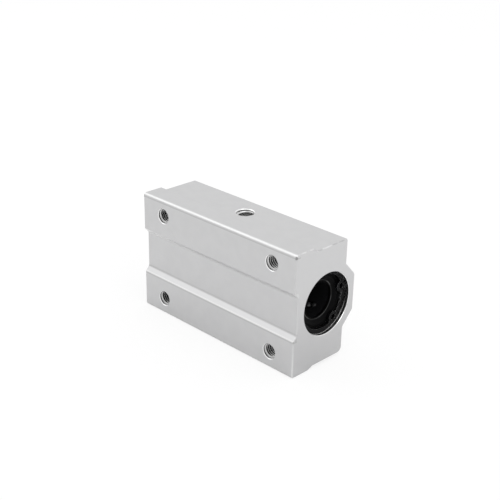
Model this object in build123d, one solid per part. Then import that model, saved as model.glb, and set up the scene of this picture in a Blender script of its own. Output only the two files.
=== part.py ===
from build123d import *
import math
import os

# Linear bearing block: an aluminium housing with two ball bearings for a 12 mm shaft.
# X runs along the shaft, -Y is the side that bolts to the machine, and Z is the width.
# The origin is on the shaft's axis at mid-length. All sizes are in millimetres.

# The shaft, and the bearings that run on it
shaft_diameter = 12.0
bearing_diameter = 21.0
bearing_length = 30.0
bearing_gap = 4.0  # filled by the spacer ring
bearing_fit = 0.02  # gap all round between a bearing and the bore
bearing_recess = 3.0  # from an end of the housing to the bearing inside it

# Outside of the housing, whose length follows from the bearings
block_width = 42.0
mounting_wall = 4.48  # between the mounting face and the bore that holds the bearings
crown_wall = 2.48
shoulder_depth = 23.5  # mounting face to the flat shoulders beside the crown
flange_depth = 7.5  # full width as far as here, then the sides step in
step_run = 2.0  # depth over which the sides slope in
step_upper = 1.3  # how far the upper side stands in from the flange
step_lower = 0.9
crown_width = 12.4
crown_foot_width = 22.2  # across the crown where it leaves the shoulders
relief_mouth_width = 16.0  # shallow channel along the mounting face
relief_floor_width = 12.6
relief_depth = 1.5

# Rounded long edges of the housing, and the small bevels at its ends
flange_radius = 1.0
relief_lip_radius = 0.9
relief_root_radius = 1.2
step_radius_upper = 0.5
step_radius_lower = 2.4
shoulder_radius_upper = 0.7
shoulder_radius_lower = 2.0
crown_foot_radius = 0.8
crown_edge_radius = 1.0
end_bevel = 0.3

# Mounting holes: an M5 thread from the mounting face, then a clearance hole for M4
hole_spacing_x = 50.0
hole_spacing_z = 30.5
thread_diameter = 5.0
thread_mouth_diameter = 5.4
thread_depth = 12.0
through_diameter = 4.3

# Grease port in the upper side: an M6 thread, then a narrow passage to the bore
port_thread_diameter = 6.0
port_mouth_diameter = 6.6
port_thread_depth = 6.5
port_passage_diameter = 2.5
port_offset = -1.5  # along X from mid-length

# Retaining rings, each in a groove of the bore outside a bearing
ring_thickness = 1.0
ring_side_play = 0.1
ring_groove_depth = 0.5
ring_rim_gap = 0.03
ring_back_width = 2.2  # radial width opposite the gap
ring_lug_width = 1.2  # radial width beside the lugs
lug_diameter = 3.7
lug_hole_diameter = 2.0
lug_inset = 1.2  # from the bore's wall in to the lugs' holes
lug_half_angle = 34.0
ring_turn = -18.0  # the gap's place round X, from the crown
bore_mouth_bevel = 0.15

# Outer sleeve of a bearing
sleeve_wall_share = 0.4  # of the room between the raceway and the bearing's outside
land_width = 2.2  # raised strip along each loaded lane, ground as a raceway

# Ball circuits: each is a flat loop, loaded on one side and returning on the other
circuit_count = 4
circuit_start = 33.0  # angle of the first loaded lane from the crown
lane_angle = 24.0  # from a loaded lane to its return lane
ball_share = 0.1134  # a ball's diameter, of the bearing's
ball_count = 17
ball_gap = 0.05
track_clearance = 0.05

# Cage
cage_shaft_gap = 0.25
cage_sleeve_gap = 0.1
cage_end_gap = 0.05

# Lip seals at both ends of a bearing
seal_thickness = 1.8
seal_recess = 0.1
seal_press_gap = 0.02

# Spacer ring between the bearings
spacer_wall = 3.0
spacer_fit = 0.05
spacer_hole_diameter = 2.0
spacer_hole_count = 2
grease_groove_width = 2.6
grease_groove_depth = 0.8

block_length = bearing_gap + 2 * (bearing_length + bearing_recess)
shaft_radius = shaft_diameter / 2
bearing_radius = bearing_diameter / 2
bore_radius = bearing_radius + bearing_fit
bore_axis_depth = mounting_wall + bore_radius
block_depth = bore_axis_depth + bore_radius + crown_wall
mounting_y = -bore_axis_depth
shoulder_y = mounting_y + shoulder_depth
crown_y = mounting_y + block_depth
flange_y = mounting_y + flange_depth
step_y = flange_y + step_run
upper_side_z = block_width / 2 - step_upper
lower_side_z = -block_width / 2 + step_lower
ring_groove_radius = bore_radius + ring_groove_depth
bearing_centre = (bearing_gap + bearing_length) / 2
bearing_end = bearing_gap / 2 + bearing_length
ball_diameter = ball_share * bearing_diameter
ball_radius = ball_diameter / 2
track_radius = ball_radius + track_clearance
loaded_radius = shaft_radius + ball_radius
raceway_radius = shaft_radius + ball_diameter
sleeve_bore_radius = bearing_radius - sleeve_wall_share * (bearing_radius - raceway_radius)
return_radius = sleeve_bore_radius - track_radius


def turned(points):
    """A solid turned about the shaft's axis; each point is a place along X and a radius."""
    return revolve(make_face(Polyline(*points, close=True)), Axis.X)


def both_ways(points):
    """The points, then their mirror images at -X in the opposite order."""
    return points + [(-x, r) for x, r in reversed(points)]


def round_bar(diameter, length):
    """A bar along X, centred on the origin."""
    return Rot(0, 90, 0) * Cylinder(diameter / 2, length)


def housing_section():
    """Outline in Y and Z, from the middle of the mounting side up, round the crown and back."""
    half_width = block_width / 2
    corners = [
        (mounting_y + relief_depth, relief_floor_width / 2, relief_root_radius),
        (mounting_y, relief_mouth_width / 2, relief_lip_radius),
        (mounting_y, half_width, flange_radius),
        (flange_y, half_width, step_radius_upper),
        (step_y, upper_side_z, step_radius_upper),
        (shoulder_y, upper_side_z, shoulder_radius_upper),
        (shoulder_y, crown_foot_width / 2, crown_foot_radius),
        (crown_y, crown_width / 2, crown_edge_radius),
        (crown_y, -crown_width / 2, crown_edge_radius),
        (shoulder_y, -crown_foot_width / 2, crown_foot_radius),
        (shoulder_y, lower_side_z, shoulder_radius_lower),
        (step_y, lower_side_z, step_radius_lower),
        (flange_y, -half_width, step_radius_lower),
        (mounting_y, -half_width, flange_radius),
        (mounting_y, -relief_mouth_width / 2, relief_lip_radius),
        (mounting_y + relief_depth, -relief_floor_width / 2, relief_root_radius),
    ]
    outline = FilletPolyline(
        *[(y, z) for y, z, _ in corners], radius=[r for _, _, r in corners], close=True
    )
    return Plane.YZ * make_face(outline)


def bore_space():
    """The bore with its bevelled mouths and the retaining rings' grooves."""
    half_length = block_length / 2
    groove_inner = bearing_end - ring_side_play / 2
    groove_outer = groove_inner + ring_thickness + ring_side_play
    return turned(
        both_ways(
            [
                (half_length, 0),
                (half_length, bore_radius + bore_mouth_bevel),
                (half_length - bore_mouth_bevel, bore_radius),
                (groove_outer, bore_radius),
                (groove_outer, ring_groove_radius),
                (groove_inner, ring_groove_radius),
                (groove_inner, bore_radius),
            ]
        )
    )


def stepped_hole(mouth_diameter, diameter, depth, narrow_diameter, narrow_depth):
    """A bevelled threaded hole that goes on as a narrower one; its mouth is at the origin, down -Z."""
    mouth, wide, narrow = mouth_diameter / 2, diameter / 2, narrow_diameter / 2
    section = Polyline(
        (0, 0),
        (mouth, 0),
        (wide, wide - mouth),
        (wide, -depth),
        (narrow, narrow - wide - depth),
        (narrow, -narrow_depth),
        (0, -narrow_depth),
        close=True,
    )
    return revolve(Plane.XZ * make_face(section), Axis.Z)


def make_housing():
    block = extrude(housing_section(), block_length / 2, both=True)
    block = chamfer(block.faces().filter_by(Axis.X).edges(), end_bevel)
    block -= bore_space()
    mounting_hole = stepped_hole(
        thread_mouth_diameter, thread_diameter, thread_depth, through_diameter, shoulder_depth
    )
    for x in (-hole_spacing_x / 2, hole_spacing_x / 2):
        for z in (-hole_spacing_z / 2, hole_spacing_z / 2):
            block -= Pos(x, mounting_y, z) * Rot(90, 0, 0) * mounting_hole
    port = stepped_hole(
        port_mouth_diameter, port_thread_diameter, port_thread_depth, port_passage_diameter, upper_side_z
    )
    return block - Pos(port_offset, 0, upper_side_z) * port


def make_retaining_ring():
    """Flat ring with two drilled lugs; it is thinner towards the gap, and its inner face is at X 0."""
    rim = ring_groove_radius - ring_rim_gap
    inner = rim - (ring_back_width + ring_lug_width) / 2
    offset = (ring_back_width - ring_lug_width) / 2
    lug_circle = bore_radius - lug_inset
    lug_reach = rim - lug_circle - ring_lug_width / 2
    ring = Circle(rim) - Pos(offset, 0) * Circle(inner)
    gap_side = 2 * rim / math.cos(math.radians(lug_half_angle))
    left = Rot(0, 0, lug_half_angle) * Pos(gap_side, 0)
    right = Rot(0, 0, -lug_half_angle) * Pos(gap_side, 0)
    ring -= make_face(Polyline((0, 0), left.position, right.position, close=True))
    for side in (-1, 1):
        lug = Pos(lug_reach / 2, 0) * SlotCenterToCenter(lug_reach, lug_diameter)
        place = Rot(0, 0, side * lug_half_angle) * Pos(lug_circle, 0)
        ring += (place * lug) & Circle(rim)
        ring -= place * Circle(lug_hole_diameter / 2)
    return Rot(ring_turn, 0, 0) * extrude(Plane.YZ * ring, ring_thickness)


def lane_centre(circuit, angle, radius):
    """Where a lane crosses the bearing's middle, in Y and Z."""
    turn = math.radians(circuit_start + circuit * 360 / circuit_count + angle)
    return Vector(0, radius * math.cos(turn), radius * math.sin(turn))


def loop_plane(circuit):
    """The plane of a ball loop: X along the shaft, Z away from it, with the loop's middle at its origin."""
    loaded = lane_centre(circuit, 0, loaded_radius)
    returning = lane_centre(circuit, lane_angle, return_radius)
    across = (returning - loaded).normalized()
    return Plane(origin=(loaded + returning) / 2, x_dir=(1, 0, 0), z_dir=across.cross(Vector(1, 0, 0)))


loop_bend_radius = (
    lane_centre(0, lane_angle, return_radius) - lane_centre(0, 0, loaded_radius)
).length / 2
loop_length = ball_count * (ball_diameter + ball_gap)
lane_length = loop_length / 2 - math.pi * loop_bend_radius
seal_inner_x = bearing_length / 2 - seal_recess - seal_thickness


def make_sleeve():
    """Hardened sleeve whose bore has a raised strip, ground as a raceway, over each loaded lane."""
    sleeve = round_bar(bearing_diameter, bearing_length) - round_bar(2 * sleeve_bore_radius, bearing_length)
    rooted = (sleeve_bore_radius + bearing_radius) / 2
    for circuit in range(circuit_count):
        lane = Rot(circuit_start + circuit * 360 / circuit_count, 0, 0)
        sleeve += lane * Pos(0, rooted / 2, 0) * Box(2 * seal_inner_x, rooted, land_width)
    return sleeve - round_bar(2 * raceway_radius, bearing_length)


def pocket_outline():
    """Outline of a cage pocket: a track round the ball loop, bevelled outside the bends, with an island."""
    reach = loop_bend_radius + track_radius
    bevel = reach * math.tan(math.pi / 8)
    half = lane_length / 2
    corner = [(half + bevel, reach), (half + reach, bevel), (half + reach, -bevel), (half + bevel, -reach)]
    outside = make_face(Polyline(*corner, *[(-x, -y) for x, y in corner], close=True))
    return outside - Rectangle(lane_length, 2 * (loop_bend_radius - track_radius))


def make_cage():
    """Moulded tube with a pocket for each ball loop, open to the shaft at the loaded lane."""
    cage = round_bar(2 * (raceway_radius - cage_sleeve_gap), 2 * (seal_inner_x - cage_end_gap))
    cage -= round_bar(2 * (shaft_radius + cage_shaft_gap), bearing_length)
    pocket = extrude(Pos(0, 0, -track_radius) * pocket_outline(), 2 * bearing_radius)
    for circuit in range(circuit_count):
        cage -= loop_plane(circuit) * pocket
    return cage


def make_ball():
    """A ball with twenty flat faces and its corners on the true ball's surface."""
    golden = (1 + math.sqrt(5)) / 2
    axes = [(1, 1, 1), (1, 1, -1), (1, -1, 1), (-1, 1, 1)]
    for sign in (-1, 1):
        axes += [(0, sign / golden, golden), (sign / golden, golden, 0), (golden, 0, sign / golden)]
    face_distance = ball_radius * golden**2 / math.sqrt(3) / math.sqrt(golden + 2)
    ball = Box(ball_diameter, ball_diameter, ball_diameter)
    between_faces = Box(2 * ball_diameter, 2 * ball_diameter, 2 * face_distance)
    for axis in axes:
        ball &= Plane(origin=(0, 0, 0), z_dir=axis) * between_faces
    return ball


def loop_place(share):
    """Place on a ball loop, in the loop's plane; share runs from 0 to 1 once round it."""
    along = share * loop_length
    bend = math.pi * loop_bend_radius
    half = lane_length / 2
    if along < lane_length:
        return Vector(along - half, -loop_bend_radius, 0)
    along -= lane_length
    if along < bend:
        turn = along / loop_bend_radius
        return Vector(half + loop_bend_radius * math.sin(turn), -loop_bend_radius * math.cos(turn), 0)
    along -= bend
    if along < lane_length:
        return Vector(half - along, loop_bend_radius, 0)
    turn = (along - lane_length) / loop_bend_radius
    return Vector(-half - loop_bend_radius * math.sin(turn), loop_bend_radius * math.cos(turn), 0)


def make_ball_loop(circuit, ball):
    plane = loop_plane(circuit)
    balls = [plane * Pos(*loop_place(i / ball_count)) * ball for i in range(ball_count)]
    return Compound(balls)


def make_seal():
    """Rubber ring whose inner edge meets the shaft, at the +X end of a bearing."""
    rim = 2 * (sleeve_bore_radius - seal_press_gap)
    seal = round_bar(rim, seal_thickness) - round_bar(shaft_diameter, seal_thickness)
    return Pos(seal_inner_x + seal_thickness / 2, 0, 0) * seal


def make_spacer():
    """Ring between the bearings; its outer groove and two holes lead grease to the shaft."""
    outer = 2 * (bore_radius - spacer_fit)
    groove_floor = outer - 2 * grease_groove_depth
    spacer = round_bar(outer, bearing_gap) - round_bar(outer - 2 * spacer_wall, bearing_gap)
    spacer -= round_bar(outer, grease_groove_width) - round_bar(groove_floor, grease_groove_width)
    for i in range(spacer_hole_count):
        hole = Pos(0, 0, outer / 4) * Cylinder(spacer_hole_diameter / 2, outer / 2)
        spacer -= Rot(i * 360 / spacer_hole_count, 0, 0) * hole
    return spacer


def make_parts():
    """Every piece of the block by name, where it sits in the assembled part."""
    pieces = {
        "housing": make_housing(),
        "spacer_ring": make_spacer(),
    }
    ring, sleeve, cage, seal, ball = (
        make_retaining_ring(),
        make_sleeve(),
        make_cage(),
        make_seal(),
        make_ball(),
    )
    turn_round = Rot(0, 0, 180)
    for name, way in (("front", Pos(0, 0, 0)), ("back", turn_round)):
        bearing = way * Pos(bearing_centre, 0, 0)
        pieces[f"retaining_ring_{name}"] = way * Pos(bearing_end, 0, 0) * ring
        pieces[f"{name}_bearing_sleeve"] = bearing * sleeve
        pieces[f"{name}_bearing_cage"] = bearing * cage
        pieces[f"{name}_bearing_outer_seal"] = bearing * seal
        pieces[f"{name}_bearing_inner_seal"] = bearing * turn_round * seal
        for circuit in range(circuit_count):
            pieces[f"{name}_bearing_balls_{circuit + 1}"] = bearing * make_ball_loop(circuit, ball)
    return pieces


os.makedirs("parts", exist_ok=True)
for node, solid in make_parts().items():
    export_step(solid, f"parts/{node}.step")
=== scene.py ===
# Linear bearing block: an aluminium housing with two ball bearings for a 12 mm shaft.
# X runs along the shaft, -Y is the side that bolts to the machine, and Z is the width.
# The origin is on the shaft's axis at mid-length. Sizes are in metres, most written as number * mm.
import math

import bpy
import numpy as np
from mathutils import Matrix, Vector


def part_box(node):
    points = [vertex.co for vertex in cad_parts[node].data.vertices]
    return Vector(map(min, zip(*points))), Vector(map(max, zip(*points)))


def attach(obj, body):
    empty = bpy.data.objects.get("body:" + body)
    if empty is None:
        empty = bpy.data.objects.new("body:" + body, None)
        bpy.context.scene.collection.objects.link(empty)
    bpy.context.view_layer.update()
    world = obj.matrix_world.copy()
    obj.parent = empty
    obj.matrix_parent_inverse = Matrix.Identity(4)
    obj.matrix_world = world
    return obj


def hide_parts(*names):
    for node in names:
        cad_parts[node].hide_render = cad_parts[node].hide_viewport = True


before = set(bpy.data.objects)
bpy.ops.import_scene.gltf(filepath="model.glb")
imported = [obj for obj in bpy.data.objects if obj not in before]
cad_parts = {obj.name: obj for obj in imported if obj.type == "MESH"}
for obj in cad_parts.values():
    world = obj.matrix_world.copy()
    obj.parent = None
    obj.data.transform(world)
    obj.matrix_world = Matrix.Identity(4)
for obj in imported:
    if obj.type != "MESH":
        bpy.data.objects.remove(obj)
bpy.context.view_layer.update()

mm = 0.001
block_low, block_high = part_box("housing")


# Camera. It stands in front of the mounting face and to the right, a little above the block, and
# has a long lens, so the block's far end looks hardly smaller than its near one.
camera_data = bpy.data.cameras.new("camera")
camera_data.sensor_width = 36.0
camera_data.lens = 72.07
camera = bpy.data.objects.new("camera", camera_data)
camera.location = (211.48 * mm, -214.62 * mm, 141.78 * mm)
camera.rotation_euler = (1.149443, -0.019678, 0.784382)
bpy.context.scene.collection.objects.link(camera)
bpy.context.scene.camera = camera
bpy.context.scene.view_settings.view_transform = "Standard"


# Studio: a white table that runs out to a white surround, under large soft lamps. The camera sees
# the surround as plain white, and reflections see it greyer down at the horizon. It lights the
# block more gently than it looks.
class Link:
    """One output of a shader node. Arithmetic, comparisons and abs() on it add Math nodes to the same
    material, and a | b is the greater of the two."""

    def __init__(self, tree, socket=None):
        self.tree, self.socket = tree, socket

    def node(self, kind, settings=(), sockets=(), output=0):
        """Adds a node, sets it up, then gives its sockets their values or links."""
        made = self.tree.nodes.new(kind)
        for name, value in dict(settings).items():
            setattr(made, name, value)
        for name, value in dict(sockets).items():
            if isinstance(value, Link):
                self.tree.links.new(value.socket, made.inputs[name])
            else:
                made.inputs[name].default_value = value
        return Link(self.tree, made.outputs[output] if made.outputs else None)

    def maths(self, operation, *values):
        return self.node("ShaderNodeMath", {"operation": operation}, enumerate(values))

    def __add__(self, other):
        return self.maths("ADD", self, other)

    def __sub__(self, other):
        return self.maths("SUBTRACT", self, other)

    def __rsub__(self, other):
        return self.maths("SUBTRACT", other, self)

    def __mul__(self, other):
        return self.maths("MULTIPLY", self, other)

    def __or__(self, other):
        return self.maths("MAXIMUM", self, other)

    def __gt__(self, other):
        return self.maths("GREATER_THAN", self, other)

    def __lt__(self, other):
        return self.maths("LESS_THAN", self, other)

    def __abs__(self):
        return self.maths("ABSOLUTE", self)

    __radd__, __rmul__ = __add__, __mul__


def empty_tree(owner):
    """An emptied node tree of a material or world, as a Link to build from."""
    owner.use_nodes = True
    owner.node_tree.nodes.clear()
    return Link(owner.node_tree)


def rays(start):
    """1 for what the camera sees in the open, and 1 for what it sees by reflection or through glass."""
    path = start.node("ShaderNodeLightPath").socket.node.outputs
    names = ("Is Camera Ray", "Is Glossy Ray", "Is Transmission Ray")
    in_open, reflected, through = (Link(start.tree, path[name]) for name in names)
    return in_open, reflected | through


surround_light, reflected_surround = 0.84, 0.98
horizon_shade, horizon_height = 0.30, 0.35
world = bpy.data.worlds.new("surround")
bpy.context.scene.world = world
start = empty_tree(world)
in_open, mirrored = rays(start)
direction = start.node("ShaderNodeTexCoord")
height = direction.node("ShaderNodeSeparateXYZ", sockets={0: direction}, output=2)
shade = height.node(
    "ShaderNodeMapRange",
    {"interpolation_type": "SMOOTHSTEP"},
    {"Value": height, "From Min": 0.0, "From Max": horizon_height, "To Min": horizon_shade, "To Max": 0.0},
)
mirrored_extra = mirrored * (reflected_surround - surround_light - shade)
strength = in_open * (1 - surround_light) + mirrored_extra + surround_light
glow = start.node("ShaderNodeBackground", sockets={"Color": (1, 1, 1, 1), "Strength": strength})
start.node("ShaderNodeOutputWorld", sockets={"Surface": glow})

table_width = 6.0
shown_glow = 0.80
shown_white, mirrored_white, lit_white = 0.22, 0.97, 0.80
table_material = bpy.data.materials.new("white_table")
start = empty_tree(table_material)
in_open, mirrored = rays(start)
white = in_open * (shown_white - lit_white) + mirrored * (mirrored_white - lit_white) + lit_white
paper_colour = start.node("ShaderNodeCombineColor", sockets={0: white, 1: white, 2: white})
paper = start.node("ShaderNodeBsdfDiffuse", sockets={"Color": paper_colour})
glow_strength = in_open * shown_glow
glow = start.node("ShaderNodeEmission", sockets={"Color": (1, 1, 1, 1), "Strength": glow_strength})
both = start.node("ShaderNodeAddShader", sockets={0: paper, 1: glow})
start.node("ShaderNodeOutputMaterial", sockets={"Surface": both})

corner = table_width / 2
table_mesh = bpy.data.meshes.new("table")
table_corners = [(-corner, -corner), (corner, -corner), (corner, corner), (-corner, corner)]
table_mesh.from_pydata([(x, y, block_low.z) for x, y in table_corners], [], [(0, 1, 2, 3)])
table_mesh.materials.append(table_material)
table = bpy.data.objects.new("table", table_mesh)
bpy.context.scene.collection.objects.link(table)


def soft_lamp(name, place, size, brightness):
    """A square lamp at a place, turned to face the block, as bright as that many times plain white."""
    lamp_data = bpy.data.lights.new(name, "AREA")
    lamp_data.shape, lamp_data.size, lamp_data.energy = "SQUARE", size, brightness * math.pi * size**2
    lamp = bpy.data.objects.new(name, lamp_data)
    direction = -np.array(place) / np.linalg.norm(place)
    lamp.location = place
    turn = math.atan2(direction[1], direction[0]) - math.pi / 2
    lamp.rotation_euler = (math.acos(-direction[2]), 0, turn)
    bpy.context.scene.collection.objects.link(lamp)


soft_lamp("lamp_left", (-0.60, -0.40, 0.62), size=0.62, brightness=0.44)
soft_lamp("lamp_above", (0.15, 0.10, 0.90), size=0.50, brightness=0.80)
soft_lamp("lamp_right", (0.80, -0.15, 0.35), size=0.50, brightness=1.10)


# Housing: one length of extruded aluminium, sawn and milled to length, bored through, tapped
# from the mounting face and in its upper side, its edges bevelled, then satin anodised clear.
half_length = (block_high.x - block_low.x) / 2
mounting_y, crown_y = block_low.y, block_high.y
shoulder_y = mounting_y + 23.5 * mm
flange_y = mounting_y + 7.5 * mm
step_y = flange_y + 2.0 * mm
flange_z = block_high.z
upper_side_z, lower_side_z = flange_z - 1.3 * mm, block_low.z + 0.9 * mm
crown_half, crown_foot_half = 6.2 * mm, 11.1 * mm
relief_floor_half, relief_mouth_half, relief_y = 6.3 * mm, 8.0 * mm, mounting_y + 1.5 * mm
end_bevel = 0.3 * mm
bore_radius, mouth_bevel = 10.52 * mm, 0.15 * mm
clip_groove_start, clip_groove_end, clip_groove_radius = 31.95 * mm, 33.05 * mm, 11.02 * mm
beyond = 1.0 * mm

section_corners = [
    (relief_y, relief_floor_half, 1.2 * mm),
    (mounting_y, relief_mouth_half, 0.9 * mm),
    (mounting_y, flange_z, 1.1 * mm),
    (flange_y, flange_z, 0.5 * mm),
    (step_y, upper_side_z, 0.5 * mm),
    (shoulder_y, upper_side_z, 0.7 * mm),
    (shoulder_y, crown_foot_half, 0.8 * mm),
    (crown_y, crown_half, 1.0 * mm),
    (crown_y, -crown_half, 1.0 * mm),
    (shoulder_y, -crown_foot_half, 0.8 * mm),
    (shoulder_y, lower_side_z, 2.0 * mm),
    (step_y, lower_side_z, 2.4 * mm),
    (flange_y, -flange_z, 2.4 * mm),
    (mounting_y, -flange_z, 1.0 * mm),
    (mounting_y, -relief_mouth_half, 0.5 * mm),
    (relief_y, -relief_floor_half, 1.2 * mm),
]


def unit(vectors):
    """Each vector divided by its length."""
    return vectors / np.linalg.norm(vectors, axis=-1, keepdims=True)


def rounded(corners, inset=0.0, steps=9):
    """Closed outline from corners of (u, v, radius). Each corner turns into an arc that touches both
    its sides: the arc's centre lies on their bisector, radius / sin(half the angle) from the corner.
    An inset shrinks the bulging arcs and widens the hollow ones, so the outline moves inwards."""
    corners = np.array(corners, float)
    here, radius = corners[:, :2], corners[:, 2:]
    back, on = unit(np.roll(here, 1, 0) - here), unit(np.roll(here, -1, 0) - here)
    half = np.arccos(np.clip((back * on).sum(1, keepdims=True), -1, 1)) / 2
    centre = here + unit(back + on) * radius / np.sin(half)
    first, last = ((here + side * radius / np.tan(half) - centre) for side in (back, on))
    start_angle = np.arctan2(first[:, 1], first[:, 0])
    sweep = (np.arctan2(last[:, 1], last[:, 0]) - start_angle + math.pi) % (2 * math.pi) - math.pi
    angle = start_angle[:, None] + sweep[:, None] * np.linspace(0, 1, steps)
    ahead = np.roll(here, -1, 0)
    way = np.sign((here[:, 0] * ahead[:, 1] - here[:, 1] * ahead[:, 0]).sum())
    bulge = way * np.sign(sweep)[:, None]
    reach = (radius - inset * bulge)[:, :, None]
    arcs = centre[:, None] + reach * np.stack([np.cos(angle), np.sin(angle)], -1)
    return arcs.reshape(-1, 2)


def turned(profile, around=96):
    """Rings round the X axis: a profile point (x, r) becomes the ring (x, r cos a, r sin a)."""
    profile = np.asarray(profile, float)
    angle = np.arange(around) * 2 * math.pi / around
    x = np.repeat(profile[:, :1], around, 1)
    return np.stack([x, profile[:, 1:] * np.cos(angle), profile[:, 1:] * np.sin(angle)], -1)


sharp_turn = math.radians(32)


def skin(name, rings, material, joined=False):
    """Piece from rings of points, (rings, points, 3), or several alike, (copies, rings, points, 3).
    Each ring closes on itself, neighbouring rings are joined by faces of four points, and the first
    and last ring get lids or are joined too. The winding is the one that encloses a volume."""
    rings = np.asarray(rings, float)
    rings = rings[None] if rings.ndim == 3 else rings
    copies, count, around = rings.shape[:3]
    index = np.arange(count * around).reshape(count, around)
    here, onward = (index, np.roll(index, -1, 0)) if joined else (index[:-1], index[1:])
    quads = np.stack([here, np.roll(here, -1, 1), np.roll(onward, -1, 1), onward], -1).reshape(-1, 4)
    lids = [] if joined else [index[0][::-1], index[-1]]
    points = rings[0].reshape(-1, 3)
    volume = 0.0
    for loops in [quads] + [lid[None] for lid in lids]:
        p = points[loops]
        volume += (p[:, :1] * np.cross(p[:, 1:-1], p[:, 2:])).sum()
    faces = [face if volume > 0 else face[::-1] for face in [*quads, *lids]]
    mesh = bpy.data.meshes.new(name)
    shifted = [(face + copy * count * around).tolist() for copy in range(copies) for face in faces]
    mesh.from_pydata(rings.reshape(-1, 3), [], shifted)
    mesh.shade_smooth()
    mesh.set_sharp_from_angle(angle=sharp_turn)
    mesh.materials.append(material)
    piece = bpy.data.objects.new(name, mesh)
    bpy.context.scene.collection.objects.link(piece)
    return piece


def carve(piece, cutters):
    """Cuts closed shapes out of a piece, keeps the result as its mesh, and evens out its shading."""
    for cutter in cutters:
        cut = piece.modifiers.new("cut", "BOOLEAN")
        cut.operation, cut.solver, cut.object = "DIFFERENCE", "EXACT", cutter
    cut_piece = piece.evaluated_get(bpy.context.evaluated_depsgraph_get())
    mesh = bpy.data.meshes.new_from_object(cut_piece)
    piece.modifiers.clear()
    piece.data = mesh
    mesh.set_sharp_from_angle(angle=sharp_turn)
    for cutter in cutters:
        bpy.data.objects.remove(cutter)
    even = piece.modifiers.new("even_shading", "WEIGHTED_NORMAL")
    even.keep_sharp, even.weight = True, 100


def fit(piece, slot, *nodes):
    """The piece belongs to the block and stands for those solids, which are hidden. The slot is not used.
    """
    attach(piece, "root")
    if nodes:
        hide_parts(*nodes)


# The tapped holes lie hole_x and hole_z to each side of the middle, with a narrower hole through
# the flange behind each. The grease port goes in from the upper side, with a passage to the bore.
hole_x, hole_z = 25.0 * mm, 15.25 * mm
hole_mouth, hole_radius, hole_depth = 2.7 * mm, 2.5 * mm, 12.0 * mm
through_radius, through_depth = 2.15 * mm, 24.4 * mm
port_x = -1.5 * mm
port_mouth, port_radius, port_depth, port_passage = 3.3 * mm, 3.0 * mm, 6.5 * mm, 1.25 * mm


def parts(vector):
    """The vector's x, y and z."""
    split = vector.node("ShaderNodeSeparateXYZ", sockets={0: vector}).socket.node
    return [Link(vector.tree, output) for output in split.outputs]


def distance(u, v):
    """Length of the vector (u, v)."""
    squared = u * u + v * v
    return squared.maths("SQRT", squared)


def ramp(value, low, high):
    """0 up to the low limit and 1 from the high one on, with a smooth rise between them."""
    limits = {"Value": value, "From Min": low, "From Max": high}
    return value.node("ShaderNodeMapRange", {"interpolation_type": "SMOOTHSTEP"}, limits)


def line(value, middle, half_width):
    """1 on a thin line where the value is at its middle, fading to 0 at the line's sides."""
    return 1 - ramp(abs(value - middle), 0.4 * half_width, half_width)


def noise(vector, scale, detail=3.0):
    """Smooth random values between 0 and 1. The scale is the number of bumps in a metre."""
    return vector.node("ShaderNodeTexNoise", sockets={"Vector": vector, "Scale": scale, "Detail": detail})


def toned(under, share, over):
    """The under colour with that share of the over colour laid on it. A plain number is a grey."""
    under, over = ((c, c, c, 1) if isinstance(c, float) else c for c in (under, over))
    sockets = {"Factor": share, 6: under, 7: over}
    return share.node("ShaderNodeMix", {"data_type": "RGBA"}, sockets, output=2)


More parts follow.
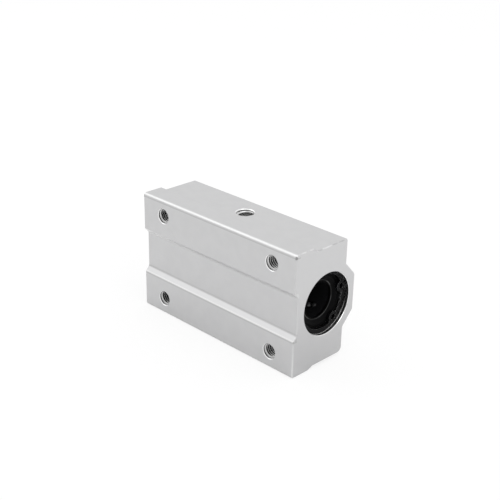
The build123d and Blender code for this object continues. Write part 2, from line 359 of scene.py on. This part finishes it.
def satin_aluminium():
    """Fine blasted, clear anodised skin outside, and bright cut metal in the bore and the holes."""
    material = bpy.data.materials.new("satin_aluminium")
    start = empty_tree(material)
    place = start.node("ShaderNodeTexCoord", output=3)
    x, y, z = parts(place)
    facing_x, _, facing_z = parts(start.node("ShaderNodeTexCoord", output=1))
    from_middle = abs(x)
    end_face = ramp(abs(facing_x), 0.80, 0.95)

    # Bare cut metal: the bore, the mounting holes with the narrower ones behind them, and the port.
    from_bore = distance(y, z)
    from_hole = distance(abs(x) - hole_x, abs(z) - hole_z)
    from_port = distance(x - port_x, y)
    in_bore = 1 - ramp(from_bore, bore_radius + 0.10 * mm, bore_radius + 0.14 * mm)
    past_thread = ramp(y, mounting_y + hole_depth, mounting_y + hole_depth + 0.3 * mm)
    hole_limit = (through_radius - hole_mouth) * past_thread + hole_mouth
    in_hole = 1 - ramp(from_hole - hole_limit, -0.02 * mm, 0.03 * mm)
    above_bore = ramp(z, 9.0 * mm, 9.1 * mm)
    in_port = (1 - ramp(from_port, port_mouth - 0.02 * mm, port_mouth + 0.03 * mm)) * above_bore
    in_holes = in_hole | in_port
    bare = in_holes | in_bore

    # The skin: lines of the die along the block, milling marks on its ends, and a fine blasted grain.
    drawn = place.node(
        "ShaderNodeMapping", {"vector_type": "POINT"}, {"Vector": place, "Scale": (0.015, 1.0, 1.0)}
    )
    die_lines = noise(drawn, 3800.0, 4.0)
    grain = noise(place, 4600.0, 2.0)
    blotch = noise(place, 260.0, 4.0)
    cutter_y, cutter_z, feed = -52.0 * mm, 31.0 * mm, 0.42 * mm
    arcs = distance(y - cutter_y, z - cutter_z) * (2 * math.pi / feed) + noise(place, 300.0) * 2.0
    milling = arcs.maths("SINE", arcs)
    skin_tone = toned((0.625, 0.625, 0.630, 1), ramp(blotch, 0.3, 0.7), (0.648, 0.648, 0.652, 1))
    # Painted light and shade on the ends: lighter towards the top and darker towards the bottom.
    end_painted_light_share = ramp(z, -16.0 * mm, 16.0 * mm)
    end_painted_light_and_shade = toned((0.585, 0.585, 0.590, 1), end_painted_light_share, (0.675, 0.675, 0.680, 1))

    # Painted highlights on the edges and a relief wall, painted shade beside them and at two tips.
    on_flange_edge = 1 - ramp(distance(y - mounting_y, z - flange_z), 0.5 * mm, 0.85 * mm)
    on_lip = 0.8 - ramp(distance(y - mounting_y, z + relief_mouth_half), 0.25 * mm, 0.50 * mm) * 0.8
    wall_y, wall_z = (relief_y + mounting_y) / 2, (relief_floor_half + relief_mouth_half) / 2
    on_wall = 1 - ramp(distance(y - wall_y, z - wall_z), 0.95 * mm, 1.2 * mm)
    # Painted light: the wall's highlight is stronger towards the -X end.
    on_wall = on_wall * (0.95 - ramp(x, -30.0 * mm, 0.0) * 0.45)
    at_end_edge = ramp(from_middle, half_length - 0.32 * mm, half_length - 0.24 * mm)
    at_mounting_side = 1 - ramp(y, mounting_y + 0.35 * mm, mounting_y + 0.60 * mm)
    low_down = 0.6 - ramp(z, -18.0 * mm, -8.0 * mm) * 0.6
    # Painted highlight: all of these lighten the skin.
    painted_highlight = on_wall | on_flange_edge | on_lip | at_end_edge * at_mounting_side * low_down
    # Painted shade: thin darker lines below the flange edge and above and below the lip.
    below_flange_edge = line(z, flange_z - 1.18 * mm, 0.28 * mm) * 0.9
    above_lip = line(z, 0.08 * mm - relief_floor_half, 0.45 * mm) * 0.7
    below_lip = line(z, -0.40 * mm - relief_mouth_half, 0.34 * mm) * 0.8
    on_front = 1 - ramp(y, relief_y + 0.2 * mm, relief_y + 0.4 * mm)
    painted_shade_lines = (below_flange_edge + above_lip + below_lip) * on_front
    # Painted shade at the tips of the lip and of the flange edge, near both ends.
    before_floor = 1 - ramp(y, relief_y - 0.1 * mm, relief_y + 0.1 * mm)
    lip_tip_painted_shade = at_end_edge * line(z, -7.4 * mm, 1.4 * mm) * before_floor * (1 - end_face * 0.6)
    near_end = ramp(from_middle, half_length - 0.7 * mm, half_length - 0.4 * mm)
    from_tip = distance(y - mounting_y, z - (flange_z - 1.0 * mm))
    edge_tip_painted_shade = near_end * (1 - ramp(from_tip, 0.40 * mm, 0.70 * mm))

    # The bevels along the upper and lower edges of the ends: darker scuffs in places, painted highlight
    # between them.
    slant = abs(facing_z)
    in_bevel = ramp(from_middle, half_length - 0.35 * mm, half_length - 0.30 * mm)
    on_end_bevel = ramp(slant, 0.40, 0.50) * (1 - ramp(slant, 0.85, 0.92)) * in_bevel
    scuffs_and_painted_highlight = toned(0.45, ramp(noise(place, 420.0), 0.35, 0.65), 0.86)

    # Details of the cut metal: painted highlight on the bevels at the mouths, painted shade in the thread
    # grooves and ring grooves, and a line that the boring tool left in front of each ring groove.
    hole_bevel = ramp(from_hole, hole_radius + 0.01 * mm, hole_radius + 0.05 * mm) * in_hole
    port_bevel = ramp(from_port, port_radius + 0.01 * mm, port_radius + 0.06 * mm) * in_port
    bore_bevel = ramp(from_middle, half_length - 0.20 * mm, half_length - 0.14 * mm) * in_bore
    # Painted highlight: the mouth bevels are lighter than the rest of the cut metal.
    bevel = hole_bevel | port_bevel | bore_bevel
    hole_crest = ramp(from_hole, hole_radius - 0.38 * mm, hole_radius - 0.22 * mm)
    hole_groove = hole_crest * (1 - ramp(from_hole, hole_radius - 0.03 * mm, hole_radius + 0.05 * mm))
    port_crest = ramp(from_port, port_radius - 0.48 * mm, port_radius - 0.30 * mm) * in_port
    port_groove = port_crest * (1 - ramp(from_port, port_radius - 0.03 * mm, port_radius + 0.05 * mm))
    past_mouth = ramp(y, mounting_y + 0.5 * mm, mounting_y + 1.4 * mm) * 0.6 + 0.4
    # Painted shade in the thread grooves, weaker near the mouths.
    thread_painted_shade = hole_groove * past_mouth * (1 - past_thread) | port_groove * 0.35
    # Painted shade in the ring grooves of the bore.
    past_start = ramp(from_middle, clip_groove_start - 0.05 * mm, clip_groove_start + 0.01 * mm)
    before_end = 1 - ramp(from_middle, clip_groove_end - 0.01 * mm, clip_groove_end + 0.03 * mm)
    within = 1 - ramp(from_bore, clip_groove_radius + 0.01 * mm, clip_groove_radius + 0.04 * mm)
    clip_groove_painted_shade = past_start * before_end * within
    line_start, line_end, fade = 33.66 * mm, 33.88 * mm, 0.04 * mm
    past_line = ramp(from_middle, line_end, line_end + fade)
    on_tool_line = ramp(from_middle, line_start - fade, line_start) * (1 - past_line)
    tool_line = on_tool_line * in_bore * (1 - ramp(z, -6.0 * mm, -1.0 * mm))

    colour = skin_tone
    for share, tone in (
        (end_face * 0.5, end_painted_light_and_shade),
        (painted_highlight, 0.80),
        (painted_shade_lines, 0.53),
        (lip_tip_painted_shade * 0.8 + edge_tip_painted_shade, 0.32),
        (on_end_bevel * 0.55, scuffs_and_painted_highlight),
        (bare, 0.74),
        (bevel, 0.92),
        (thread_painted_shade * 0.65, 0.13),
        (clip_groove_painted_shade, 0.12),
    ):
        colour = toned(colour, share, tone)
    skin_roughness = ramp(blotch, 0.2, 0.8) * 0.06 + (grain - 0.5) * 0.10 - end_face * 0.03 + 0.37
    bore_roughness = 0.24 - bore_bevel * 0.11 + tool_line * 0.60
    roughness = skin_roughness * (1 - bare) + in_bore * bore_roughness + in_holes * 0.27
    relief = grain * 0.55 + (die_lines * 0.35) * (1 - end_face) + (milling * 0.05) * end_face
    bump = start.node(
        "ShaderNodeBump", sockets={"Height": relief * (1 - bare), "Strength": 0.28, "Distance": 0.03 * mm}
    )
    surface = start.node(
        "ShaderNodeBsdfPrincipled",
        sockets={"Base Color": colour, "Roughness": roughness, "Metallic": 1.0, "Normal": bump},
    )
    start.node("ShaderNodeOutputMaterial", sockets={"Surface": surface})
    return material


aluminium = satin_aluminium()
insets_and_places = [
    (end_bevel, -half_length),
    (0.0, end_bevel - half_length),
    (0.0, half_length - end_bevel),
    (end_bevel, half_length),
]
outlines = [rounded(section_corners, inset) for inset, place in insets_and_places]
rings = [np.insert(o, 0, place, axis=1) for o, (inset, place) in zip(outlines, insets_and_places)]
housing = skin("housing_block", rings, aluminium)

mouth_to_groove = [
    (half_length + beyond, bore_radius + mouth_bevel + beyond),
    (half_length - mouth_bevel, bore_radius),
    (clip_groove_end, bore_radius),
    (clip_groove_end, clip_groove_radius),
    (clip_groove_start, clip_groove_radius),
    (clip_groove_start, bore_radius),
]
bore_profile = mouth_to_groove + [(-x, r) for x, r in reversed(mouth_to_groove)]
cutters = [skin("bore_tool", turned(bore_profile, around=160), aluminium)]


def stepped(mouth, radius, depth, narrow, end):
    """Profile of a bevelled hole that goes on narrower, as (depth, radius) from its mouth."""
    taper = radius - narrow
    return [
        (-beyond, mouth + beyond),
        (mouth - radius, radius),
        (depth, radius),
        (depth + taper, narrow),
        (end, narrow),
    ]


into_mounting_face = stepped(hole_mouth, hole_radius, hole_depth, through_radius, through_depth)
along, out_y, out_z = np.moveaxis(turned(into_mounting_face, around=48), -1, 0)
for x in (-hole_x, hole_x):
    for z in (-hole_z, hole_z):
        hole = np.stack([x + out_y, mounting_y + along, z + out_z], -1)
        cutters.append(skin("hole_tool", hole, aluminium))
into_upper_side = stepped(port_mouth, port_radius, port_depth, port_passage, upper_side_z)
along, out_y, out_z = np.moveaxis(turned(into_upper_side, around=48), -1, 0)
port = np.stack([port_x + out_y, out_z, upper_side_z - along], -1)
cutters.append(skin("port_tool", port, aluminium))
carve(housing, cutters)
fit(housing, "anodised_aluminium", "housing")


# Threads: M5 in the four mounting holes and M6 in the grease port, cut with taps. Each is the ridge
# of metal that the tap leaves, wound down the wall, and the bevel at the mouth trims its start.
def thread(radius, pitch, mouth, depth, steps=40):
    """Ridge along a helix, as (sections, points, (depth, u, v)): the depth grows by one pitch a turn.
    Its section is a trapezium from a wide foot inside the wall to a narrow crest, 0.541 of the pitch
    high as on a metric thread; the crest rises and sinks over the end half turns."""
    crest_height, run_in, foot, bevel_gap = 0.541 * pitch, 0.45 * pitch, 0.05 * mm, 0.02 * mm
    start_depth, end_depth = mouth - radius + run_in, depth - run_in
    turns = (end_depth - start_depth) / pitch
    angle = np.linspace(0, turns * 2 * math.pi, int(turns * steps))
    rise = np.clip(np.minimum(angle, angle[-1] - angle) / math.pi, 0, 1)[:, None]
    across = np.array([-0.46, -0.42, -0.14, 0.14, 0.42, 0.46]) * pitch
    height = np.array([-foot, 0, crest_height, crest_height, 0, -foot])
    at_depth = start_depth + angle[:, None] * pitch / (2 * math.pi) + across
    reach = radius - np.where(height > 0, height * rise, height)
    trimmed = np.maximum(reach, np.minimum(mouth + bevel_gap - at_depth, radius + foot))
    return np.stack([at_depth, trimmed * np.cos(angle)[:, None], trimmed * np.sin(angle)[:, None]], -1)


m5_pitch, m6_pitch = 0.8 * mm, 1.0 * mm
depth, u, v = np.moveaxis(thread(hole_radius, m5_pitch, hole_mouth, hole_depth), -1, 0)
corners = [(x, z) for x in (-hole_x, hole_x) for z in (-hole_z, hole_z)]
ridges = [np.stack([x + u, mounting_y + depth, z + v], -1) for x, z in corners]
fit(skin("mounting_hole_threads", ridges, aluminium), "anodised_aluminium")
depth, u, v = np.moveaxis(thread(port_radius, m6_pitch, port_mouth, port_depth), -1, 0)
ridge = np.stack([port_x + u, v, upper_side_z - depth], -1)
fit(skin("grease_port_thread", ridge, aluminium), "anodised_aluminium")


# Retaining rings: stamped from spring steel and phosphated black, thinner towards the gap, with a
# drilled lug on each side of it for the pliers. Each snaps into a groove of the bore.
def plain_finish(
    name, colour, roughness, metallic=0.0, specular=0.5, grain=0.2, painted_end_shade=1.0, painted_edge_highlight=0.0, rim=None
):
    """Material of one colour with a fine grain in its gloss, its tone and its relief. Faces square to the
    shaft can be darkened by a factor, as painted shade. Edges can get a painted highlight, in patches:
    the slanting faces, or the ones whose distance from the shaft's axis is within the rim's two limits."""
    material = bpy.data.materials.new(name)
    start = empty_tree(material)
    place = start.node("ShaderNodeTexCoord", output=3)
    speck, patch = noise(place, 3500.0), noise(place, 400.0)

    def shade(scale, offset=0.0):
        return [c * scale + offset for c in colour] + [1]

    def squareness():
        """1 on a face square to the shaft, and 0 on one along it."""
        return abs(parts(start.node("ShaderNodeTexCoord", output=1))[0])

    tone = toned(shade(0.82), patch, shade(1.18))
    # Painted shade on faces square to the shaft.
    if painted_end_shade < 1:
        tone = toned(tone, squareness() > 0.9, shade(painted_end_shade))
    # Painted highlight on the edges, broken into patches.
    if painted_edge_highlight:
        measured = distance(*parts(place)[1:]) if rim else squareness()
        least, most = rim or (0.25, 0.93)
        highlight_patches = ramp(patch, 0.38, 0.58) * 0.75 + 0.25
        tone = toned(tone, (measured > least) * (measured < most) * highlight_patches, shade(1.0, painted_edge_highlight))
    bump = start.node("ShaderNodeBump", sockets={"Height": speck, "Strength": grain, "Distance": 0.02 * mm})
    sockets = {
        "Base Color": tone,
        "Roughness": (speck - 0.5) * 0.16 + (patch - 0.5) * 0.1 + roughness,
        "Metallic": metallic,
        "Specular IOR Level": specular,
        "Normal": bump,
    }
    surface = start.node("ShaderNodeBsdfPrincipled", sockets=sockets)
    start.node("ShaderNodeOutputMaterial", sockets={"Surface": surface})
    return material


# Painted highlight on the ring's slanting edge faces.
black_steel = plain_finish(
    "black_spring_steel", (0.004, 0.004, 0.0045), 0.36, specular=0.09, grain=0.12, painted_edge_highlight=0.40
)
clip_rim, clip_inner, clip_offset = 10.99 * mm, 9.29 * mm, 0.50 * mm
clip_place, clip_thickness, clip_edge = 32.0 * mm, 1.0 * mm, 0.11 * mm
lug_circle, lug_half, lug_hole = 9.32 * mm, 1.85 * mm, 1.0 * mm
lug_corner, lug_root, root_spread = 1.7 * mm, 0.5 * mm, 1.16
lug_angle, clip_turn = math.radians(34), math.radians(-18)


def clip_outline():
    """Rounded corners of the lug at one side of the gap, then the inner edge, an off-centre circle,
    as far as the middle of the back; the other half is the mirror image, and the rim closes it."""
    lug_axis = np.array([math.cos(lug_angle), math.sin(lug_angle)])
    lug_side = np.array([-lug_axis[1], lug_axis[0]])
    rim_half = math.asin(lug_half / clip_rim)
    join_angle = lug_angle + root_spread * math.asin(lug_half / clip_inner)
    inner_angle = np.linspace(join_angle, math.pi, 40)
    inner_reach = clip_offset * np.cos(inner_angle) + np.sqrt(
        clip_inner**2 - (clip_offset * np.sin(inner_angle)) ** 2
    )
    rim_angle = np.linspace(math.pi, lug_angle - rim_half, 60)
    inner_end = (lug_circle - lug_half) * lug_axis
    lug = [
        (*(inner_end - lug_half * lug_side), lug_corner),
        (*(inner_end + lug_half * lug_side), lug_corner),
        (*(inner_reach[0] * lug_axis + lug_half * lug_side), lug_root),
    ]
    inner = np.stack([inner_reach * np.cos(inner_angle), inner_reach * np.sin(inner_angle)], -1)[1:]
    rim = clip_rim * np.stack([np.cos(rim_angle), np.sin(rim_angle)], -1)
    half = [*lug, *[(*p, 0.0) for p in inner]]
    other = [(u, -v, r) for u, v, r in reversed(half)]
    upper_rim = [(*p, 0.0) for p in rim]
    lower_rim = [(u, -v, r) for u, v, r in reversed(upper_rim)]
    points = rounded([*half, *other[1:], *lower_rim, *upper_rim[1:]], steps=7)
    least_step = 0.005 * mm
    return points[np.linalg.norm(points - np.roll(points, 1, 0), axis=1) > least_step]


def in_groove(outline, places, way):
    """The outline turned to the clip's angle, once for each place along X. For the back clip, way is
    -1, which gives all of it a half turn round Z."""
    cos, sin = math.cos(clip_turn), math.sin(clip_turn)
    y, z = outline[:, 0] * cos - outline[:, 1] * sin, outline[:, 0] * sin + outline[:, 1] * cos
    return np.stack([np.stack([np.full_like(y, x), y, z], -1) for x in places]) * (way, way, 1)


flat_clip = clip_outline()
clip_end = clip_place + clip_thickness
angle = np.arange(32) * math.pi / 16
lug_hole_outline = lug_hole * np.stack([np.cos(angle), np.sin(angle)], -1)
for name, way in (("front", 1), ("back", -1)):
    rings = in_groove(flat_clip, (clip_place, clip_end), way)
    clip = skin(f"retaining_ring_{name}_piece", rings, black_steel)
    cutters = []
    for side in (-1, 1):
        centre = lug_circle * np.array([math.cos(lug_angle), side * math.sin(lug_angle)])
        rings = in_groove(centre + lug_hole_outline, (clip_place - beyond, clip_end + beyond), way)
        cutters.append(skin("lug_tool", rings, black_steel))
    carve(clip, cutters)
    soften = clip.modifiers.new("stamped_edge", "BEVEL")
    soften.width, soften.segments = clip_edge, 2
    soften.limit_method, soften.angle_limit = "ANGLE", sharp_turn
    clip.modifiers.move(1, 0)
    fit(clip, "black_spring_steel", f"retaining_ring_{name}")


# Bearing sleeves: hardened steel tubes, ground outside and pushed into the bore. Inside each, a
# raised strip is ground as a raceway over every loaded lane of balls, and the two ends are
# counterbored for the seals.
# Painted shade: the sleeves' end faces are nearly black.
ground_steel = plain_finish(
    "ground_steel", (0.46, 0.46, 0.47), 0.24, metallic=1.0, grain=0.08, painted_end_shade=0.07
)
bearing_half, bearing_centre = 15.0 * mm, 17.0 * mm
sleeve_radius, sleeve_inner, sleeve_edge = 10.5 * mm, 9.653 * mm, 0.25 * mm
raceway_radius, raceway_half, raceway_half_angle = 8.381 * mm, 13.1 * mm, math.radians(7.0)
circuits, lane_start = 4, math.radians(33)


def sleeve_sections(around=144):
    """Sections along the sleeve, one for each angle round the shaft. The inner wall steps in to the
    raceway's radius where the angle lies within the raceway's half width of a loaded lane."""
    angle = np.arange(around) * 2 * math.pi / around
    half_pitch = math.pi / circuits
    off_lane = np.abs((angle - lane_start + half_pitch) % (2 * half_pitch) - half_pitch)
    wall = np.where(off_lane < raceway_half_angle, raceway_radius, sleeve_inner)
    section = [
        (bearing_half, sleeve_inner),
        (bearing_half, sleeve_radius - sleeve_edge),
        (bearing_half - sleeve_edge, sleeve_radius),
        (sleeve_edge - bearing_half, sleeve_radius),
        (-bearing_half, sleeve_radius - sleeve_edge),
        (-bearing_half, sleeve_inner),
        (-raceway_half, sleeve_inner),
        (-raceway_half, wall),
        (raceway_half, wall),
        (raceway_half, sleeve_inner),
    ]
    lines = [
        np.stack([np.full(around, x), r * np.cos(angle), r * np.sin(angle)], -1) for x, r in section
    ]
    return np.stack(lines, 1)


def in_bearing(points, way):
    """Points given from a bearing's own middle, moved to the front bearing, or turned to the back one."""
    return (points + (bearing_centre, 0, 0)) * (way, way, 1)


for name, way in (("front", 1), ("back", -1)):
    sleeve = skin(f"{name}_sleeve_piece", in_bearing(sleeve_sections(), way), ground_steel, joined=True)
    fit(sleeve, "bearing_steel", f"{name}_bearing_sleeve")


# Seals: moulded nitrile rings pressed into both ends of each sleeve. A funnel leads in to the lip,
# which wipes the shaft.
# Painted highlight on the rim of the seal's lip, between these two radii from the shaft's axis.
lip_edge = (6.42 * mm, 6.70 * mm)
rubber = plain_finish(
    "seal_rubber", (0.003, 0.003, 0.0032), 0.45, specular=0.04, grain=0.3, painted_edge_highlight=0.09, rim=lip_edge
)
seal_face = bearing_half - 0.1 * mm
seal_corners_in_mm = [
    (-1.80, 9.63, 0.10),
    (0.00, 9.63, 0.30),
    (0.00, 8.95, 0.10),
    (-0.30, 8.80, 0.08),
    (-0.30, 8.55, 0.08),
    (0.00, 8.40, 0.10),
    (0.00, 8.00, 0.35),
    (-0.95, 6.45, 0.10),
    (-0.72, 6.30, 0.06),
    (-0.62, 6.00, 0.12),
    (-1.05, 6.00, 0.25),
    (-1.80, 6.30, 0.10),
]
seal_profile = rounded(np.array(seal_corners_in_mm) * mm, steps=6) + (seal_face, 0)
for name, way in (("front", 1), ("back", -1)):
    for end, turn_in in (("outer", 1), ("inner", -1)):
        rings = in_bearing(turned(seal_profile, around=128) * (turn_in, turn_in, 1), way)
        seal = skin(f"{name}_{end}_seal_piece", rings, rubber, joined=True)
        fit(seal, "seal_rubber", f"{name}_bearing_{end}_seal")


# Cages: moulded resin tubes, held in the sleeves between the seals, with a pocket round each loop
# of balls. A pocket is open to the shaft along its loaded lane and has a floor along its return
# lane.
resin = plain_finish("cage_resin", (0.010, 0.010, 0.011), 0.42, specular=0.15, grain=0.15)
cage_half, cage_outer, cage_inner = 13.05 * mm, 8.281 * mm, 6.25 * mm
ball_radius, ball_step, ball_count = 1.1907 * mm, 2.4314 * mm, 17
track_radius, track_reach = 1.2407 * mm, 5.0 * mm
lane_angle = math.radians(24)
loaded_radius, return_radius = 7.1907 * mm, 8.4119 * mm


def loop_frame(circuit):
    """Middle of a ball loop, the direction across it to its return lane, and the one out of it."""
    start_angle = lane_start + circuit * 2 * math.pi / circuits
    loaded, back = (
        reach * np.array([0, math.cos(a), math.sin(a)])
        for reach, a in ((loaded_radius, start_angle), (return_radius, start_angle + lane_angle))
    )
    across = unit(back - loaded)
    return (loaded + back) / 2, across, np.cross(across, (1, 0, 0)), np.linalg.norm(back - loaded) / 2


bend_radius = loop_frame(0)[3]
loop_length = ball_count * ball_step
lane_length = loop_length / 2 - math.pi * bend_radius


def loop_path(share, reach):
    """Point on a loop at a share of its length, reach from its core line: along the loaded lane, round
    a bend, back along the return lane and round the other bend. Gives (along the shaft, across)."""
    travelled = np.asarray(share) % 1 * loop_length
    half, bend = lane_length / 2, math.pi * bend_radius
    first = np.clip(travelled, 0, lane_length)
    first_turn = np.clip(travelled - lane_length, 0, bend) / bend_radius
    second = np.clip(travelled - lane_length - bend, 0, lane_length)
    second_turn = np.clip(travelled - 2 * lane_length - bend, 0, bend) / bend_radius
    turned_by = first_turn + second_turn
    return first - second - half + reach * np.sin(turned_by), -reach * np.cos(turned_by)


def in_loop(circuit, along, across, out):
    """Points of a loop in its bearing: from the loop's middle, so far along the shaft, so far across
    to the return lane and so far out from the shaft."""
    middle, sideways, outward, _ = loop_frame(circuit)
    return middle + along[..., None] * (1, 0, 0) + across[..., None] * sideways + out[..., None] * outward


shares = np.arange(72) / 72
pocket_section = [
    (-track_radius, -track_radius),
    (track_radius, -track_radius),
    (track_radius, track_reach),
    (-track_radius, track_reach),
]
cage_profile = [
    (cage_half, cage_inner),
    (cage_half, cage_outer),
    (-cage_half, cage_outer),
    (-cage_half, cage_inner),
]
for name, way in (("front", 1), ("back", -1)):
    cage = skin(f"{name}_cage_piece", in_bearing(turned(cage_profile), way), resin, joined=True)
    cutters = []
    for circuit in range(circuits):
        track = [loop_path(shares, bend_radius + side) for side, _ in pocket_section]
        columns = [
            in_loop(circuit, along, across, np.full_like(along, out))
            for (along, across), (_, out) in zip(track, pocket_section)
        ]
        cutters.append(skin("pocket_tool", in_bearing(np.stack(columns, 1), way), resin, joined=True))
    carve(cage, cutters)
    fit(cage, "cage_resin", f"{name}_bearing_cage")


# Balls: hardened chrome steel, 17 to a loop, four loops to a bearing. Those in the loaded lane
# touch the shaft, and the others return under the plain part of the sleeve.
# Painted shade: the balls are darkened far below bright steel.
ball_steel_painted_shade = plain_finish("ball_steel_with_painted_shade", (0.11, 0.11, 0.113), 0.60, metallic=1.0, grain=0.02)
polar_angle = np.linspace(0, math.pi, 9)[1:-1]
half_circle = ball_radius * np.stack([np.cos(polar_angle), np.sin(polar_angle)], -1)
ball = turned(half_circle, around=12)
for name, way in (("front", 1), ("back", -1)):
    for circuit in range(circuits):
        along, across = loop_path(np.arange(ball_count) / ball_count, bend_radius)
        middles = in_bearing(in_loop(circuit, along, across, np.zeros_like(along)), way)
        balls = skin(f"{name}_ball_loop_{circuit + 1}", middles[:, None, None] + ball, ball_steel_painted_shade)
        fit(balls, "ball_steel", f"{name}_bearing_balls_{circuit + 1}")


# Spacer ring: turned aluminium, a sliding fit in the bore, and it fills the gap between the two
# bearings. A groove round it and two oil holes share out the grease. Its solid has its whole form,
# so the ring keeps it and only gets its finish here.
turned_aluminium = plain_finish("turned_aluminium", (0.66, 0.66, 0.67), 0.30, metallic=1.0)
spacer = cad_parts["spacer_ring"]
spacer.data.materials.clear()
spacer.data.materials.append(turned_aluminium)
